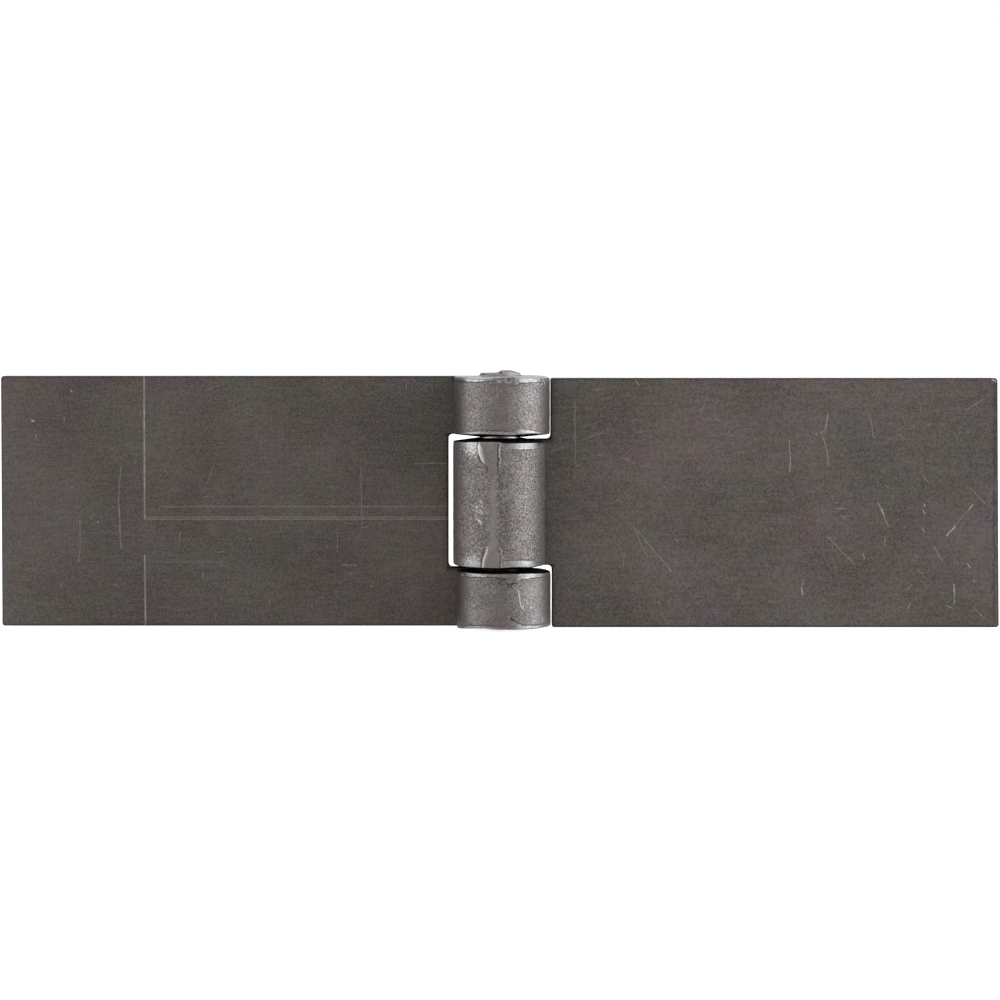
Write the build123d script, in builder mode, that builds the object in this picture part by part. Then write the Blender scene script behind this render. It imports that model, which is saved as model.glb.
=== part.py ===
from build123d import *
import os
from math import asin, degrees

# A weld-on door hinge of rolled steel plate, opened flat, in millimetres.
# The pin stands on Z, with the hinge's mid-height at Z = 0. The knuckles stand out to the front, -Y, and the
# flat backs of the leaves face +Y. The fixed leaf has two knuckles and runs to -X. The swing leaf has one
# knuckle and runs to +X.

# The plate that both leaves are cut from
PLATE_THICKNESS = 6.0
LEAF_HEIGHT = 60.0
LEAF_REACH = 120.0  # from the pin's axis to a leaf's outer end
CORNER_RADIUS = 0.8  # a leaf's two outer corners
SKIN_ROUNDING = 1.0  # sheared edges of the back, which becomes the outside of the knuckles
FACE_ROUNDING = 0.3  # sheared edges of the front face and of the bore

# The pin, a length of round bar cropped at both ends
PIN_DIAMETER = 10.0
PIN_PROUD_TOP = 1.3  # how far each end stands out of the knuckles
PIN_PROUD_BOTTOM = 0.5
PIN_CHAMFER = 0.3
CROP_LEDGE_X = -1.0  # straight side of the ledge that the cropping blade left across the top end
CROP_LEDGE_DEPTH = 0.7

# The knuckles, rolled from the leaves' own tabs
OUTER_KNUCKLE_HEIGHT = 14.0
KNUCKLE_GAP = 1.0  # along the pin, between neighbouring knuckles, with the swing leaf in mid-play
SWING_DROP = 0.4  # how far the swing leaf sits below mid-play
RUNNING_CLEARANCE = 0.1  # along a radius, from the pin to an outer knuckle's bore
NOTCH_GAP = 1.3  # from a knuckle to the straight side of the notch that it turns in
NOTCH_CORNER_RADIUS = 1.0
SEAM_GAP = 0.2  # from a rolled tip to the front face of its own leaf

# The outer knuckles run on the pin, and the middle knuckle is closed tight on it
PIN_RADIUS = PIN_DIAMETER / 2
OUTER_BORE = PIN_RADIUS + RUNNING_CLEARANCE
MIDDLE_BORE = PIN_RADIUS
OUTER_ROLL = OUTER_BORE + PLATE_THICKNESS
MIDDLE_ROLL = MIDDLE_BORE + PLATE_THICKNESS

# Heights up and down from a leaf's mid-height
HALF_HEIGHT = LEAF_HEIGHT / 2
MIDDLE_SPACE = HALF_HEIGHT - OUTER_KNUCKLE_HEIGHT
MIDDLE_HALF = MIDDLE_SPACE - KNUCKLE_GAP
CUT_PAST = 5.0  # how far a cutting shape runs past the metal
TOLERANCE = 0.01


def rolled_leaf(side, bore, mid_z, notch_reach, notch_spans):
    """A plate that runs from the pin to side * LEAF_REACH along X, its inner end rolled to the bore radius.

    mid_z is the leaf's mid-height. Each notch frees the space from notch_reach, measured from the pin's axis,
    past the knuckle, and from the lower to the upper end of its span, measured from mid_z. What is left
    beside the notches is a tab with its knuckle.
    """
    roll = bore + PLATE_THICKNESS
    roll_angle = side * (270 + degrees(asin((bore - SEAM_GAP) / roll)))
    outer_end = side * LEAF_REACH
    notch_width = notch_reach + roll + CUT_PAST
    notch_centre = side * (notch_reach - notch_width / 2)
    with BuildPart() as leaf:
        with BuildSketch(Plane.XY.offset(mid_z - HALF_HEIGHT)):
            with BuildLine():
                skin_arc = CenterArc((0, 0), roll, 90, roll_angle)
                bore_arc = CenterArc((0, 0), bore, 90, roll_angle)
                Line(skin_arc @ 1, bore_arc @ 1)
                Polyline(skin_arc @ 0, (outer_end, roll), (outer_end, bore), bore_arc @ 0)
            make_face()
        extrude(amount=LEAF_HEIGHT)
        fillet(leaf.edges().filter_by(Axis.Y), CORNER_RADIUS)
        for low, high in notch_spans:
            with BuildSketch(Plane.XZ):
                with Locations((notch_centre, mid_z + (low + high) / 2)):
                    RectangleRounded(notch_width, high - low, NOTCH_CORNER_RADIUS)
            extrude(amount=roll + CUT_PAST, both=True, mode=Mode.SUBTRACT)
        # Each rounding runs on from its flat face round the tangent edges of the knuckles
        for flat_index, rounding in ((-1, SKIN_ROUNDING), (0, FACE_ROUNDING)):
            flat = leaf.faces().filter_by(Axis.Y).sort_by(Axis.Y)[flat_index]
            fillet(flat.edges().filter_by(lambda edge: abs(edge.center().X) > TOLERANCE), rounding)
    return leaf


os.makedirs("parts", exist_ok=True)

fixed_leaf = rolled_leaf(-1, OUTER_BORE, 0, MIDDLE_ROLL + NOTCH_GAP, [(-MIDDLE_SPACE, MIDDLE_SPACE)])
fixed_leaf.part.label = "fixed_leaf"
export_step(fixed_leaf.part, "parts/fixed_leaf.step")

above_middle = (MIDDLE_HALF, HALF_HEIGHT + CUT_PAST)
below_middle = (-HALF_HEIGHT - CUT_PAST, -MIDDLE_HALF)
swing_leaf = rolled_leaf(1, MIDDLE_BORE, -SWING_DROP, OUTER_ROLL + NOTCH_GAP, [above_middle, below_middle])
swing_leaf.part.label = "swing_leaf"
export_step(swing_leaf.part, "parts/swing_leaf.step")

with BuildPart() as hinge_pin:
    with BuildSketch(Plane.XY.offset(-HALF_HEIGHT - PIN_PROUD_BOTTOM)):
        Circle(PIN_RADIUS)
    extrude(amount=PIN_PROUD_BOTTOM + LEAF_HEIGHT + PIN_PROUD_TOP)
    chamfer(hinge_pin.edges().filter_by(GeomType.CIRCLE), PIN_CHAMFER)
    with BuildSketch(Plane.XY.offset(HALF_HEIGHT + PIN_PROUD_TOP)):
        with Locations((CROP_LEDGE_X, 0)):
            Rectangle(PIN_DIAMETER, PIN_DIAMETER, align=(Align.MAX, Align.CENTER))
    extrude(amount=-CROP_LEDGE_DEPTH, mode=Mode.SUBTRACT)
hinge_pin.part.label = "hinge_pin"
export_step(hinge_pin.part, "parts/hinge_pin.step")
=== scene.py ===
import math
from collections import namedtuple

import bmesh
import bpy
from mathutils import Matrix, Vector, noise


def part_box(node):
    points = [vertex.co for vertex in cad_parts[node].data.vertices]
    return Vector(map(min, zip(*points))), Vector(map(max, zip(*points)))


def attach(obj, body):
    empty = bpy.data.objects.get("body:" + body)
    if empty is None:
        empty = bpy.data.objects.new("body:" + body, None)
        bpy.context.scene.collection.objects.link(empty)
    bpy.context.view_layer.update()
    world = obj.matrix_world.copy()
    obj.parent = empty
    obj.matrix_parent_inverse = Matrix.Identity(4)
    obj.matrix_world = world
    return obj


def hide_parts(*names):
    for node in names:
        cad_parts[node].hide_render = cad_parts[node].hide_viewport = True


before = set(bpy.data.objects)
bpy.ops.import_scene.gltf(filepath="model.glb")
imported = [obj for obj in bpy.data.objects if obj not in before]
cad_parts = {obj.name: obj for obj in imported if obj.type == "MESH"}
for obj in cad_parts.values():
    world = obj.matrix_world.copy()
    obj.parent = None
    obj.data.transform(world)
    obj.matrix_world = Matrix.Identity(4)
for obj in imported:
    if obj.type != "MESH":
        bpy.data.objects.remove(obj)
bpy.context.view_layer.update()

# The fixed leaf
# One piece of hot-rolled steel plate, sheared and notched, with its two outer tabs rolled to the front into
# knuckles. It is bare metal: dark scale on the flat, rubbed to a speckled grey where the roller stretched it.
MM = 0.001  # meshes are shaped in millimetres and scaled to metres when they are finished
fixed_low, fixed_high = (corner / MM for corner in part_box("fixed_leaf"))
swing_low, swing_high = (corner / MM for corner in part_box("swing_leaf"))
pin_low, pin_high = (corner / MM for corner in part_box("hinge_pin"))
outer_roll = fixed_high.y
middle_roll = swing_high.y
plate = middle_roll - pin_high.x
outer_bore = outer_roll - plate
OUTER_KNUCKLE_HEIGHT = 14.0
NOTCH_GAP = 1.3
SEAM_GAP = 0.2
OUTER_CORNER = 0.7
NOTCH_CORNER = 1.0
TIP_CORNER = 0.6
SKIN_ROUNDING = 0.2
FACE_ROUNDING = 0.25
ROW_STEP = 0.25
END_ROW_STEP = 0.12
END_ROWS = 2.5  # how near a knuckle end the rows of faces are finer
FIRST_ROW, LAST_ROW = 0.35, 0.45  # how far inside the plate's edges the rows start and end
FINE_TURNS = (115, 200)  # degrees round the roll between which its faces are finest
ROLL_CUTS = (45, 140, 45)  # cuts before, between and after these turns
PLATE_CUTS = 6
TIP_CLEAR = 1.5  # how far the slices keep from a tip, clear of its rounded corners
CORNER_CLEAR = 1.6  # and from a notch or an outer end
CORNER_SEGMENTS, EDGE_SEGMENTS = 4, 3
SAME_PLACE, SAME_LINE, ON_SLICE = 1e-4, 1e-3, 1e-5
GAP_HEIGHT = 17.0  # the knuckle ends nearer than this to mid-height face each other across a gap


def rolled_length(bore):
    """How much plate a tab needs to close round the pin, along the middle of its thickness."""
    turn = math.radians(270) + math.asin((bore - SEAM_GAP) / (bore + plate))
    return turn * (bore + plate / 2)


def round_edges(mesh, edges, rounding, segments):
    bmesh.ops.bevel(
        mesh, geom=edges, offset=rounding, segments=segments, profile=0.5, affect="EDGES", material=-1
    )


def sheared_blank(outline, front, back):
    """A flat plate from front to back along Y. Each corner of its outline is (x, z, rounding)."""
    mesh = bmesh.new()
    sheet = mesh.faces.new([mesh.verts.new((x, back, z)) for x, z, rounding in outline])
    grown = bmesh.ops.extrude_face_region(mesh, geom=[sheet])["geom"]
    lifted = [part for part in grown if isinstance(part, bmesh.types.BMVert)]
    bmesh.ops.translate(mesh, verts=lifted, vec=(0, front - back, 0))
    bmesh.ops.recalc_face_normals(mesh, faces=mesh.faces)
    for x, z, rounding in outline:
        corner = [
            e for e in mesh.edges if all(abs(v.co.x - x) + abs(v.co.z - z) < SAME_PLACE for v in e.verts)
        ]
        round_edges(mesh, corner, rounding, CORNER_SEGMENTS)
    for depth, rounding in ((back, SKIN_ROUNDING), (front, FACE_ROUNDING)):
        flat = next(f for f in mesh.faces if abs(f.calc_center_median().y - depth) < SAME_PLACE)
        round_edges(mesh, flat.edges[:], rounding, EDGE_SEGMENTS)
    return mesh


def slice_across(mesh, direction, places):
    """Cuts an edge loop right round the mesh at each place along the direction."""
    for place in places:
        everything = mesh.verts[:] + mesh.edges[:] + mesh.faces[:]
        bmesh.ops.bisect_plane(
            mesh, geom=everything, dist=ON_SLICE, plane_co=Vector(direction) * place, plane_no=direction
        )


def divide_runs(mesh, start, end, cuts):
    """Divides the straight runs along X between two slices into equal lengths."""
    def is_run(edge):
        ends = sorted(v.co.x for v in edge.verts)
        return all(abs(a - b) < SAME_LINE for a, b in zip(ends, sorted((start, end))))
    runs = [e for e in mesh.edges if is_run(e)]
    bmesh.ops.subdivide_edges(mesh, edges=runs, cuts=cuts, use_grid_fill=True)


def ramp(low, high, value):
    """0 at low, 1 at high, and a smooth rise between them."""
    share = min(1.0, max(0.0, (value - low) / (high - low)))
    return share * share * (3 - 2 * share)


def edge_distance(x, z, outline):
    """How far a point of the flat plate lies from the nearest sheared edge."""
    nearest = math.inf
    for (x1, z1, _), (x2, z2, _) in zip(outline, outline[1:] + outline[:1]):
        run_x, run_z = x2 - x1, z2 - z1
        share = ((x - x1) * run_x + (z - z1) * run_z) / (run_x ** 2 + run_z ** 2)
        share = min(1.0, max(0.0, share))
        nearest = min(nearest, math.hypot(x - x1 - share * run_x, z - z1 - share * run_z))
    return nearest


# What the rolling tools left on a knuckle, by its turn round the roll in degrees from the leaf's back, so
# that 180 faces the front. The bulge is how far its skin stands out on the side away from the leaf, and the
# tuck how far it lies in on the leaf's side. The trim shortens the tab, and the skew is how much higher its
# upper end lies at the notch than at the tip. An end is a list of stations (turn, neck, swell, band, shine,
# line): how far the outside draws in and the bore stands out, how wide a band is rubbed bright, how bright
# it is painted, partly as a painted highlight strongest where the lamps reflect, and how dark a line of
# painted shade runs beside it. A flat is a list of stations (height, first turn, last turn, lip, groove). A
# dent is (turn, height, radius, depth, shade), with a negative depth for a burr; its shade is painted, a
# glint where positive and shade where negative.
Knuckle = namedtuple("Knuckle", "low high bulge tuck trim skew low_end high_end flats dents")
BAND_STEP = 0.05  # how far a rubbed band lies below the skin
BAND_EDGE = 0.14
BAND_WIDE = 1.75
BAND_FADE = 1.0  # a wider band fades out over this share of what is over
BAND_WAVER = 0.1
BAND_WAVES = 10  # to the radian
LIP = 0.1  # metal raised along a flat's first side, with a groove outside it
LIP_INSET = 0.1
LIP_WIDTH = 0.95
LIP_OUTSIDE = 0.14
LIP_APART = 0.45
FULL_LIP = 0.3  # a lip this strong pushes its groove right out
FAR_LIP = 0.7  # how much of it stands up along the other side
GROOVE_WIDTH = 0.18
GROOVE_FADE = (0.9, 0.5)  # strength of lip that leaves no groove, and that leaves all of it
FLAT_REACH = 1.0  # radians from a flat's middle to where its marks stop
FIRST_WAVER, LAST_WAVER = 1.0, 2.0  # degrees by which a flat's two sides waver
FIRST_WAVES, LAST_WAVES = 0.6, 0.9  # to the millimetre
PRESSED_DEPTH = 0.08  # a flat this deep looks fully pressed
SKIN_WAVE = 0.03
SKIN_WAVES = 0.45  # to the millimetre
FIRST_SEED, LAST_SEED, BAND_SEED = 3, 7, 5
ROLL_LABELS = ("rolled", "pressed", "band", "rub_and_highlight", "line", "lip", "gap_shade")
RUBBED_FROM, RUBBED_TO = math.radians(5), math.radians(50)  # turns between which the scale is rubbed off
GAP_SHADE_EDGE = (0.1, 0.03)  # distances from a sheared edge between which the painted shade on an end face in a gap sets in
SKEW_CURVE = 3  # a skewed end rises mostly near the notch
SKEW_FADE = 16.0  # it shifts the plate over it too, less and less over this height
SKEW_REACH = 5.0  # and this far past the notch


def between(stations, place):
    """The values of a row of stations at a place between them. Each station is (place, value, ...)."""
    if place <= stations[0][0]:
        return stations[0][1:]
    for first, second in zip(stations, stations[1:]):
        if place <= second[0]:
            share = (place - first[0]) / (second[0] - first[0])
            return [a + share * (b - a) for a, b in zip(first[1:], second[1:])]
    return stations[-1][1:]


def steady_end(swell, stations):
    """The stations of an end whose bore stands out equally all round."""
    return [(turn, neck, swell, *marks) for turn, neck, *marks in stations]


def bell(value, middle, width):
    """1 at the middle, falling away to both sides."""
    return math.exp(-((value - middle) / width) ** 2)


def flat_marks(flats, skin, turn, z):
    """How far a flat lies below the round skin here, and how much its lip (+) or groove (-) shows."""
    sink, mark = 0.0, 0.0
    for stations in flats:
        if not stations[0][0] <= z <= stations[-1][0]:
            continue
        first, last, lip, groove = between(stations, z)
        first += FIRST_WAVER * noise.noise(Vector((FIRST_SEED, FIRST_SEED, z * FIRST_WAVES)))
        last += LAST_WAVER * noise.noise(Vector((LAST_SEED, LAST_SEED, z * LAST_WAVES)))
        half = math.radians((last - first) / 2)
        away = turn - math.radians((first + last) / 2)
        inside = (half - abs(away)) * skin
        if half <= 0 or abs(away) > FLAT_REACH:
            continue
        if inside > 0:
            sink = max(sink, skin - skin * math.cos(half) / math.cos(away))
        if away < 0:
            width = LIP_OUTSIDE if inside < LIP_INSET else LIP_OUTSIDE + LIP_WIDTH * lip
            side_mark = lip * bell(inside, LIP_INSET, width)
            groove_place = LIP_INSET - LIP_APART * ramp(0, FULL_LIP, lip)
            side_mark -= groove * ramp(*GROOVE_FADE, lip) * bell(inside, groove_place, GROOVE_WIDTH)
        else:
            side_mark = FAR_LIP * lip * bell(inside, -LIP_APART, GROOVE_WIDTH)
            side_mark -= groove * bell(inside, 0, GROOVE_WIDTH)
        mark = max(mark, side_mark, key=abs)
    return sink, mark


def roll_tabs(mesh, side, bore, tip, notch, knuckles, loose):
    """Bends what lies past the tangent line X = 0 round the Z axis, as a rolling tool does.

    Points are still on the flat plate, with their distance from the axis as Y. The bore of a loose knuckle
    follows its bulge, and the bore of a tight one keeps to the pin.
    """
    layers = mesh.verts.layers.float
    rolled, pressed, band, rub_and_highlight, line, lip, gap_shade = (layers.new(label) for label in ROLL_LABELS)
    edge = layers["edge"]
    skin = bore + plate
    for vert in mesh.verts:
        x, y, z = vert.co
        turn = -side * x / (bore + plate / 2)
        # End faces across a gap from another knuckle get painted shade: near black, matte and not metallic.
        if abs(z) < GAP_HEIGHT and side * x < notch:
            vert[gap_shade] = ramp(*GAP_SHADE_EDGE, vert[edge])
        knuckle = min(knuckles, key=lambda k: abs(z - (k.low + k.high) / 2))
        middle = (knuckle.low + knuckle.high) / 2
        to_end = min((z - middle) / (knuckle.high - middle), 1 - (z - knuckle.high) / SKEW_FADE)
        up_tab = min(1.0, (side * x - tip) / (notch - tip)) ** SKEW_CURVE
        skew = knuckle.skew * max(0.0, to_end) * up_tab * ramp(notch + SKEW_REACH, notch, side * x)
        if turn <= 0:
            vert.co.z = z + skew
            continue
        outward = (y - bore) / plate
        bulge = knuckle.bulge * max(0.0, math.sin(turn)) ** 2
        tuck = knuckle.tuck * max(0.0, -math.sin(turn)) ** 2
        radius = y + bulge * (1 if loose else outward) - tuck * outward
        rubbed = ramp(RUBBED_FROM, RUBBED_TO, turn)
        sink, mark = flat_marks(knuckle.flats, skin, turn, z)
        stations = knuckle.high_end if z > middle else knuckle.low_end
        neck, swell, width, band_rub_and_highlight, band_shade_line = between(stations, math.degrees(turn))
        fade = BAND_EDGE + BAND_FADE * max(0.0, width - BAND_WIDE)
        width += BAND_WAVER * noise.noise(Vector((turn * BAND_WAVES, middle, BAND_SEED)))
        into_band = (width - knuckle.high + middle + abs(z - middle)) / fade
        lift = LIP * mark - max(BAND_STEP * ramp(0, 1, into_band), sink)
        # A dent's shade goes into the lip mark and is painted: a glint where positive, shade where negative.
        for dent_turn, dent_z, dent_radius, dent_depth, dent_shade in knuckle.dents:
            apart = math.hypot((turn - math.radians(dent_turn)) * skin, z - dent_z) / dent_radius
            lift -= dent_depth * math.exp(-apart ** 2)
            mark += dent_shade * math.exp(-apart ** 2)
        lift += SKIN_WAVE * rubbed * noise.noise(Vector((turn * skin, 0, z)) * SKIN_WAVES)
        radius += lift * outward
        drawn_in = (neck * outward - swell * math.sqrt(max(0.0, 1 - outward))) * rubbed
        z -= drawn_in * (z - middle) / (knuckle.high - middle)
        z += knuckle.trim * rubbed * (knuckle.high - z) / (knuckle.high - knuckle.low) + skew
        vert[rolled] = rubbed
        vert[pressed] = ramp(0, PRESSED_DEPTH, sink)
        vert[band] = into_band
        # The band's brightness is partly a painted highlight, and its line is painted shade.
        vert[rub_and_highlight] = band_rub_and_highlight * rubbed
        vert[line] = band_shade_line * rubbed
        vert[lip] = max(-1.0, min(1.0, mark)) * rubbed * outward
        vert.co = (-side * radius * math.sin(turn), radius * math.cos(turn), z)


def show(thing):
    bpy.context.scene.collection.objects.link(thing)


def finished_piece(name, mesh):
    """Scales a mesh to metres, shades it smooth and puts it in the scene as an object."""
    bmesh.ops.scale(mesh, vec=(MM, MM, MM), verts=mesh.verts)
    bmesh.ops.recalc_face_normals(mesh, faces=mesh.faces)
    for face in mesh.faces:
        face.smooth = True
    data = bpy.data.meshes.new(name)
    mesh.to_mesh(data)
    mesh.free()
    piece = bpy.data.objects.new(name, data)
    show(piece)
    return piece


def rolled_leaf(name, side, bore, outline, knuckles, loose):
    """A leaf as it is made: sheared from plate, then its tabs rolled. Its faces are finest at the front."""
    xs = sorted(side * x for x, z, rounding in outline)
    zs = sorted(z for x, z, rounding in outline)
    tip, reach = xs[0], xs[-1]
    notch = max(x for x in xs if x < reach / 2)
    mesh = sheared_blank(outline, bore, bore + plate)
    ends = [z for knuckle in knuckles for z in (knuckle.low, knuckle.high)]
    rows = [zs[0] + FIRST_ROW]
    while rows[-1] < zs[-1] - LAST_ROW:
        near_end = min(abs(rows[-1] - end) for end in ends) < END_ROWS
        rows.append(rows[-1] + (END_ROW_STEP if near_end else ROW_STEP))
    slice_across(mesh, (0, 0, 1), rows)
    window = [-side * math.radians(turn) * (bore + plate / 2) for turn in FINE_TURNS]
    roll_lines = [0, *window, side * (tip + TIP_CLEAR)]
    plate_lines = [side * (notch + CORNER_CLEAR), side * (reach - CORNER_CLEAR)]
    slice_across(mesh, (1, 0, 0), roll_lines + plate_lines)
    for start, end, cuts in zip(roll_lines, roll_lines[1:], ROLL_CUTS):
        divide_runs(mesh, start, end, cuts)
    divide_runs(mesh, *plate_lines, PLATE_CUTS)
    edge = mesh.verts.layers.float.new("edge")
    for vert in mesh.verts:
        vert[edge] = edge_distance(vert.co.x, vert.co.z, outline)
    roll_tabs(mesh, side, bore, tip, notch, knuckles, loose)
    return finished_piece(name, mesh)


# How far this leaf's sheared edges lie from where they should
FIXED_NOTCH_OFF = 0.1
FIXED_END_OFF = 0.05
FIXED_TOP_OFF, FIXED_BOTTOM_OFF = 0.14, 0.1
TOP_INNER_OFF, BOTTOM_INNER_OFF = 0.2, 0.62
BOTTOM_SKEW = 0.65  # and how far the bottom knuckle's upper end rises to the notch
fixed_tip = rolled_length(outer_bore)
fixed_notch = -middle_roll - NOTCH_GAP - FIXED_NOTCH_OFF
fixed_end = fixed_low.x - FIXED_END_OFF
inner_end = fixed_high.z - OUTER_KNUCKLE_HEIGHT
fixed_top, fixed_bottom = fixed_high.z + FIXED_TOP_OFF, fixed_low.z - FIXED_BOTTOM_OFF
top_inner_end, bottom_inner_end = inner_end + TOP_INNER_OFF, -inner_end - BOTTOM_INNER_OFF
fixed_outline = [
    (fixed_end, fixed_bottom, OUTER_CORNER),
    (fixed_tip, fixed_bottom, TIP_CORNER),
    (fixed_tip, bottom_inner_end, TIP_CORNER),
    (fixed_notch, bottom_inner_end, NOTCH_CORNER),
    (fixed_notch, top_inner_end, NOTCH_CORNER),
    (fixed_tip, top_inner_end, TIP_CORNER),
    (fixed_tip, fixed_top, TIP_CORNER),
    (fixed_end, fixed_top, OUTER_CORNER),
]
top_knuckle = Knuckle(
    low=top_inner_end, high=fixed_top, bulge=0.83, tuck=0.15, trim=0, skew=0,
    low_end=[
        (20, 0, 0.45, 0.6, 0.1, 0), (90, 0.3, 0.45, 0.6, 0.1, 0), (118, 0.28, 0.45, 0.6, 0.2, 0),
        (128, 0.45, 0.42, 0.8, 0.6, 0.2), (138, 0.6, 0.38, 0.85, 0.8, 0.3), (150, 0.5, 0.3, 1.3, 0.95, 0),
        (158, 0.45, 0.28, 1.2, 0.75, 0), (163, 0.27, 0.27, 0.7, 0.3, 0), (172, 0.33, 0.26, 0.8, 0.5, 0.6),
        (180, 0.42, 0.26, 0.85, 0.5, 0.9), (195, 0.5, 0.27, 0.75, 0.35, 0.9),
        (205, 0.52, 0.3, 0.8, 0.55, 0.6), (213, 0.45, 0.35, 0.8, 0.85, 0.5), (222, 0.4, 0.4, 0.75, 0.5, 0.2),
        (232, 0.36, 0.42, 0.7, 0.2, 0), (260, 0.25, 0.42, 0.5, 0, 0),
    ],
    high_end=steady_end(0.2, [
        (20, -0.2, 0.7, 0.3, 0), (60, -0.1, 0.7, 0.3, 0), (90, 0.28, 0.7, 0.3, 0), (118, 0.25, 0.8, 0.3, 0.3),
        (126, 0.22, 0.95, 0.5, 0.6), (136, 0.17, 1, 0.5, 0.8), (147, 0.1, 1.1, 0.55, 0.8),
        (151, 0.06, 1.12, 0.85, 0.8), (154, 0.03, 1.2, 1, 0.9), (157, 0, 1.5, 1, 0.9),
        (159.5, 0, 1.74, 0.75, 0.9), (161.5, 0, 1.85, 0.25, 0.4), (163, 0, 1.8, 0.1, 0),
        (175, 0, 1, 0.2, 0), (188, 0.15, 0.55, 0.3, 0.3), (194, 0.35, 0.5, 0.7, 0.9),
        (205, 0.42, 0.52, 1, 0.9), (213, 0.45, 0.62, 0.95, 0.9), (224, 0.36, 0.65, 0.8, 0.9),
        (231, 0.2, 0.5, 0.2, 0.3), (238, 0.02, 0.5, 0.1, 0), (260, -0.05, 0.5, 0.1, 0),
    ]),
    flats=[
        [(27.8, 166, 173, 0, 0.7), (28.3, 162, 180, 0, 0.5), (29, 161, 182, 0, 0.2), (31, 161, 183, 0, 0)],
        [(16, 158, 178, 0, 0.5), (17.6, 165, 172, 0, 0.6)],
        [(16, 170, 189, 0, 0), (29, 170, 189, 0, 0)],
    ],
    dents=[
        (169.5, 29.65, 0.7, -0.08, 1.4), (169.5, 29.7, 0.5, 0.18, -2.2), (120, 29.6, 0.3, 0.15, -0.5),
        (117, 29.1, 0.25, 0.12, -0.5), (123, 28.9, 0.3, 0.1, -0.5), (138, 20.9, 0.15, 0.12, -0.5),
    ],
)
bottom_knuckle = Knuckle(
    low=fixed_bottom, high=bottom_inner_end, bulge=1.06, tuck=0.7, trim=0.32, skew=BOTTOM_SKEW,
    low_end=steady_end(0.3, [
        (20, 0, 0.5, 0.1, 0), (90, 0.3, 0.5, 0.1, 0), (120, 0.15, 0.8, 0.55, 0.7), (138, 0, 0.95, 0.95, 0.8),
        (151, 0, 1, 0.95, 0.8), (156, 0, 1.4, 0.75, 0.9), (160, 0, 1.75, 0.2, 0.9),
        (166, 0, 2.2, 0.05, 0.8), (168.5, 0, 2.2, 0, 0), (172, 0.05, 0.5, 0.2, 0.2),
        (180, 0.13, 0.5, 0.3, 0.3), (187, 0.22, 0.52, 0.35, 0.5), (195, 0.36, 0.55, 0.55, 0.7),
        (205, 0.32, 0.62, 0.85, 0.8), (213, 0.24, 0.7, 0.95, 0.9), (224, 0.08, 0.72, 0.8, 0.9),
        (232, -0.02, 0.6, 0.3, 0.6), (240, -0.12, 0.5, 0.1, 0.3), (250, -0.24, 0.4, 0, 0),
        (260, -0.2, 0.4, 0, 0),
    ]),
    high_end=[
        (20, -0.15, 0.27, 0.6, 0.1, 0), (60, -0.15, 0.27, 0.6, 0.1, 0), (90, 0.15, 0.32, 0.6, 0.1, 0),
        (118, 0.12, 0.36, 0.65, 0.25, 0.6), (128, 0.07, 0.38, 0.82, 0.4, 1), (137, 0, 0.39, 0.98, 0.55, 1),
        (146, -0.07, 0.41, 1.12, 0.7, 0.9), (152, -0.08, 0.42, 1.27, 0.9, 0.8),
        (154.5, -0.06, 0.43, 1.52, 0.9, 0.7), (156.5, -0.05, 0.43, 1.57, 0.35, 0.3),
        (159, -0.06, 0.44, 1.41, 0.08, 0), (165, -0.14, 0.45, 1, 0.05, 0),
        (178, -0.1, 0.47, 0.85, 0.3, 0.4), (185, -0.08, 0.48, 0.75, 0.35, 0.9),
        (195, -0.08, 0.5, 0.68, 0.5, 1), (206, -0.08, 0.51, 0.7, 0.85, 1),
        (216, -0.1, 0.53, 0.84, 0.65, 1), (224, -0.17, 0.54, 0.86, 0.45, 0.95),
        (228, -0.22, 0.55, 0.86, 0.4, 0.9), (238, -0.25, 0.57, 0.6, 0.1, 0.2), (260, -0.2, 0.6, 0.4, 0, 0),
    ],
    flats=[
        [(-19, 165, 170, 0, 0.6), (-17.5, 161, 179, 0, 0.6), (-16, 160, 181, 0, 0.3)],
        [(-30, 171, 187, 0, 0), (-18, 171, 187, 0, 0)],
    ],
    dents=[(214.5, -24.5, 0.3, -0.16, 0.5)],
)
fixed_knuckles = [top_knuckle, bottom_knuckle]
fixed_leaf = rolled_leaf("fixed_leaf_plate", -1, outer_bore, fixed_outline, fixed_knuckles, True)


def add_node(tree, kind, inputs=None, **settings):
    """A new node with its settings. Each input takes a value or another node's output."""
    made = tree.nodes.new(kind)
    for label, value in settings.items():
        setattr(made, label, value)
    for label, value in (inputs or {}).items():
        if isinstance(value, bpy.types.NodeSocket):
            tree.links.new(value, made.inputs[label])
        else:
            made.inputs[label].default_value = value
    return made


def calculate(tree, operation, *values):
    return add_node(tree, "ShaderNodeMath", dict(enumerate(values)), operation=operation).outputs[0]


def times(tree, first, second):
    return calculate(tree, "MULTIPLY", first, second)


def most(tree, first, second):
    return calculate(tree, "MAXIMUM", first, second)


def blend(tree, share, first, second, mode="MIX"):
    """The first colour where share is 0 and the second where it is 1, or both combined by another mode."""
    inputs = {0: share, 6: first, 7: second}
    return add_node(tree, "ShaderNodeMix", inputs, data_type="RGBA", blend_type=mode).outputs[2]


def blend_values(tree, share, first, second):
    return add_node(tree, "ShaderNodeMix", {0: share, 2: first, 3: second}).outputs[0]


def rise(tree, value, low, high, to_low=0.0, to_high=1.0):
    """Maps low to to_low and high to to_high, smoothly, and holds the ends."""
    inputs = {"Value": value, "From Min": low, "From Max": high, "To Min": to_low, "To Max": to_high}
    return add_node(tree, "ShaderNodeMapRange", inputs, interpolation_type="SMOOTHSTEP").outputs[0]


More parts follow.
